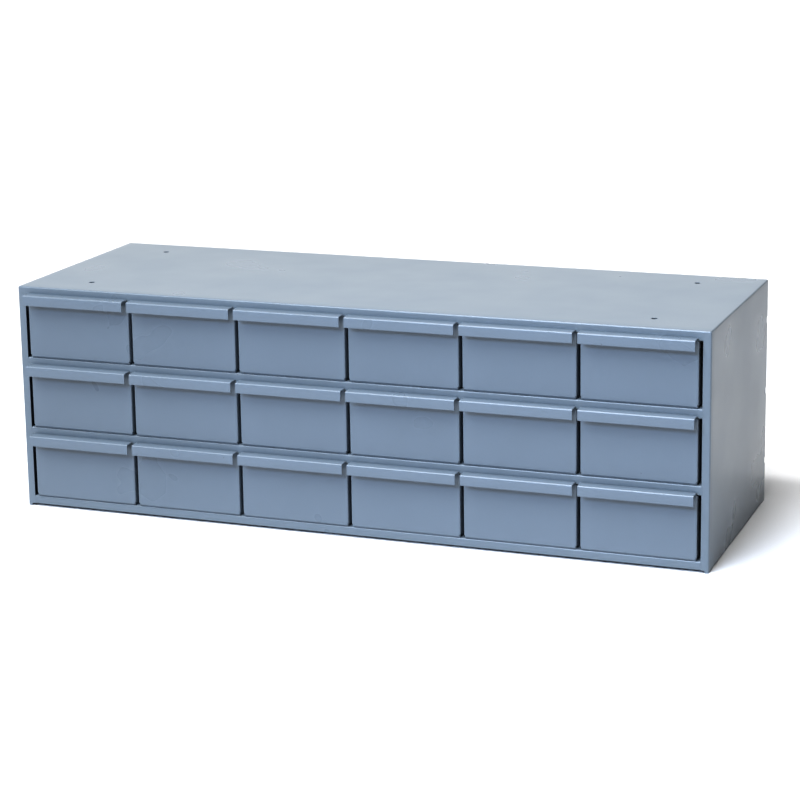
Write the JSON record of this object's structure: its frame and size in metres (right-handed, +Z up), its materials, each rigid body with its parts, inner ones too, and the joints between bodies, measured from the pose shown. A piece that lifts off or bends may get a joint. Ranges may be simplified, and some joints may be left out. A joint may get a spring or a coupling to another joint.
{
  "type": "parts bin cabinet",
  "caption": "Low wide steel cabinet with rows of shallow pull-out drawers, each with a full-width turned-out pull, for storing small parts.",
  "frame": {"origin": "on the floor, under the middle of the whole cabinet, pulls included", "axes": "+X along the width to the right seen from the front, -Y out of the front, +Z up"},
  "size_m": [0.8572, 0.3112, 0.2762],
  "materials": {
    "case": "semi-gloss baked enamel, grey-blue",
    "drawers": "semi-gloss baked enamel, grey-blue"
  },
  "bodies": {
    "case": {"outer_shell": "case", "back_panel": "case", "base_shelf": "case", "lower_shelf": "case", "upper_shelf": "case", "divider_r1_c1": "case", "divider_r1_c2": "case", "divider_r1_c3": "case", "divider_r1_c4": "case", "divider_r1_c5": "case", "divider_r2_c1": "case", "divider_r2_c2": "case", "divider_r2_c3": "case", "divider_r2_c4": "case", "divider_r2_c5": "case", "divider_r3_c1": "case", "divider_r3_c2": "case", "divider_r3_c3": "case", "divider_r3_c4": "case", "divider_r3_c5": "case"},
    "drawer_r1_c1": {"tray_r1_c1": "drawers", "front_r1_c1": "drawers"},
    "drawer_r1_c2": {"tray_r1_c2": "drawers", "front_r1_c2": "drawers"},
    "drawer_r1_c3": {"tray_r1_c3": "drawers", "front_r1_c3": "drawers"},
    "drawer_r1_c4": {"tray_r1_c4": "drawers", "front_r1_c4": "drawers"},
    "drawer_r1_c5": {"tray_r1_c5": "drawers", "front_r1_c5": "drawers"},
    "drawer_r1_c6": {"tray_r1_c6": "drawers", "front_r1_c6": "drawers"},
    "drawer_r2_c1": {"tray_r2_c1": "drawers", "front_r2_c1": "drawers"},
    "drawer_r2_c2": {"tray_r2_c2": "drawers", "front_r2_c2": "drawers"},
    "drawer_r2_c3": {"tray_r2_c3": "drawers", "front_r2_c3": "drawers"},
    "drawer_r2_c4": {"tray_r2_c4": "drawers", "front_r2_c4": "drawers"},
    "drawer_r2_c5": {"tray_r2_c5": "drawers", "front_r2_c5": "drawers"},
    "drawer_r2_c6": {"tray_r2_c6": "drawers", "front_r2_c6": "drawers"},
    "drawer_r3_c1": {"tray_r3_c1": "drawers", "front_r3_c1": "drawers"},
    "drawer_r3_c2": {"tray_r3_c2": "drawers", "front_r3_c2": "drawers"},
    "drawer_r3_c3": {"tray_r3_c3": "drawers", "front_r3_c3": "drawers"},
    "drawer_r3_c4": {"tray_r3_c4": "drawers", "front_r3_c4": "drawers"},
    "drawer_r3_c5": {"tray_r3_c5": "drawers", "front_r3_c5": "drawers"},
    "drawer_r3_c6": {"tray_r3_c6": "drawers", "front_r3_c6": "drawers"}
  },
  "joints": [
    {"name": "drawer_r1_c1_slide", "type": "slide", "parent": "case", "child": "drawer_r1_c1", "axis": [0, -1, 0], "range_m": [0, 0.2585]},
    {"name": "drawer_r1_c2_slide", "type": "slide", "parent": "case", "child": "drawer_r1_c2", "axis": [0, -1, 0], "range_m": [0, 0.2585]},
    {"name": "drawer_r1_c3_slide", "type": "slide", "parent": "case", "child": "drawer_r1_c3", "axis": [0, -1, 0], "range_m": [0, 0.2585]},
    {"name": "drawer_r1_c4_slide", "type": "slide", "parent": "case", "child": "drawer_r1_c4", "axis": [0, -1, 0], "range_m": [0, 0.2585]},
    {"name": "drawer_r1_c5_slide", "type": "slide", "parent": "case", "child": "drawer_r1_c5", "axis": [0, -1, 0], "range_m": [0, 0.2585]},
    {"name": "drawer_r1_c6_slide", "type": "slide", "parent": "case", "child": "drawer_r1_c6", "axis": [0, -1, 0], "range_m": [0, 0.2585]},
    {"name": "drawer_r2_c1_slide", "type": "slide", "parent": "case", "child": "drawer_r2_c1", "axis": [0, -1, 0], "range_m": [0, 0.2585]},
    {"name": "drawer_r2_c2_slide", "type": "slide", "parent": "case", "child": "drawer_r2_c2", "axis": [0, -1, 0], "range_m": [0, 0.2585]},
    {"name": "drawer_r2_c3_slide", "type": "slide", "parent": "case", "child": "drawer_r2_c3", "axis": [0, -1, 0], "range_m": [0, 0.2585]},
    {"name": "drawer_r2_c4_slide", "type": "slide", "parent": "case", "child": "drawer_r2_c4", "axis": [0, -1, 0], "range_m": [0, 0.2585]},
    {"name": "drawer_r2_c5_slide", "type": "slide", "parent": "case", "child": "drawer_r2_c5", "axis": [0, -1, 0], "range_m": [0, 0.2585]},
    {"name": "drawer_r2_c6_slide", "type": "slide", "parent": "case", "child": "drawer_r2_c6", "axis": [0, -1, 0], "range_m": [0, 0.2585]},
    {"name": "drawer_r3_c1_slide", "type": "slide", "parent": "case", "child": "drawer_r3_c1", "axis": [0, -1, 0], "range_m": [0, 0.2585]},
    {"name": "drawer_r3_c2_slide", "type": "slide", "parent": "case", "child": "drawer_r3_c2", "axis": [0, -1, 0], "range_m": [0, 0.2585]},
    {"name": "drawer_r3_c3_slide", "type": "slide", "parent": "case", "child": "drawer_r3_c3", "axis": [0, -1, 0], "range_m": [0, 0.2585]},
    {"name": "drawer_r3_c4_slide", "type": "slide", "parent": "case", "child": "drawer_r3_c4", "axis": [0, -1, 0], "range_m": [0, 0.2585]},
    {"name": "drawer_r3_c5_slide", "type": "slide", "parent": "case", "child": "drawer_r3_c5", "axis": [0, -1, 0], "range_m": [0, 0.2585]},
    {"name": "drawer_r3_c6_slide", "type": "slide", "parent": "case", "child": "drawer_r3_c6", "axis": [0, -1, 0], "range_m": [0, 0.2585]}
  ]
}
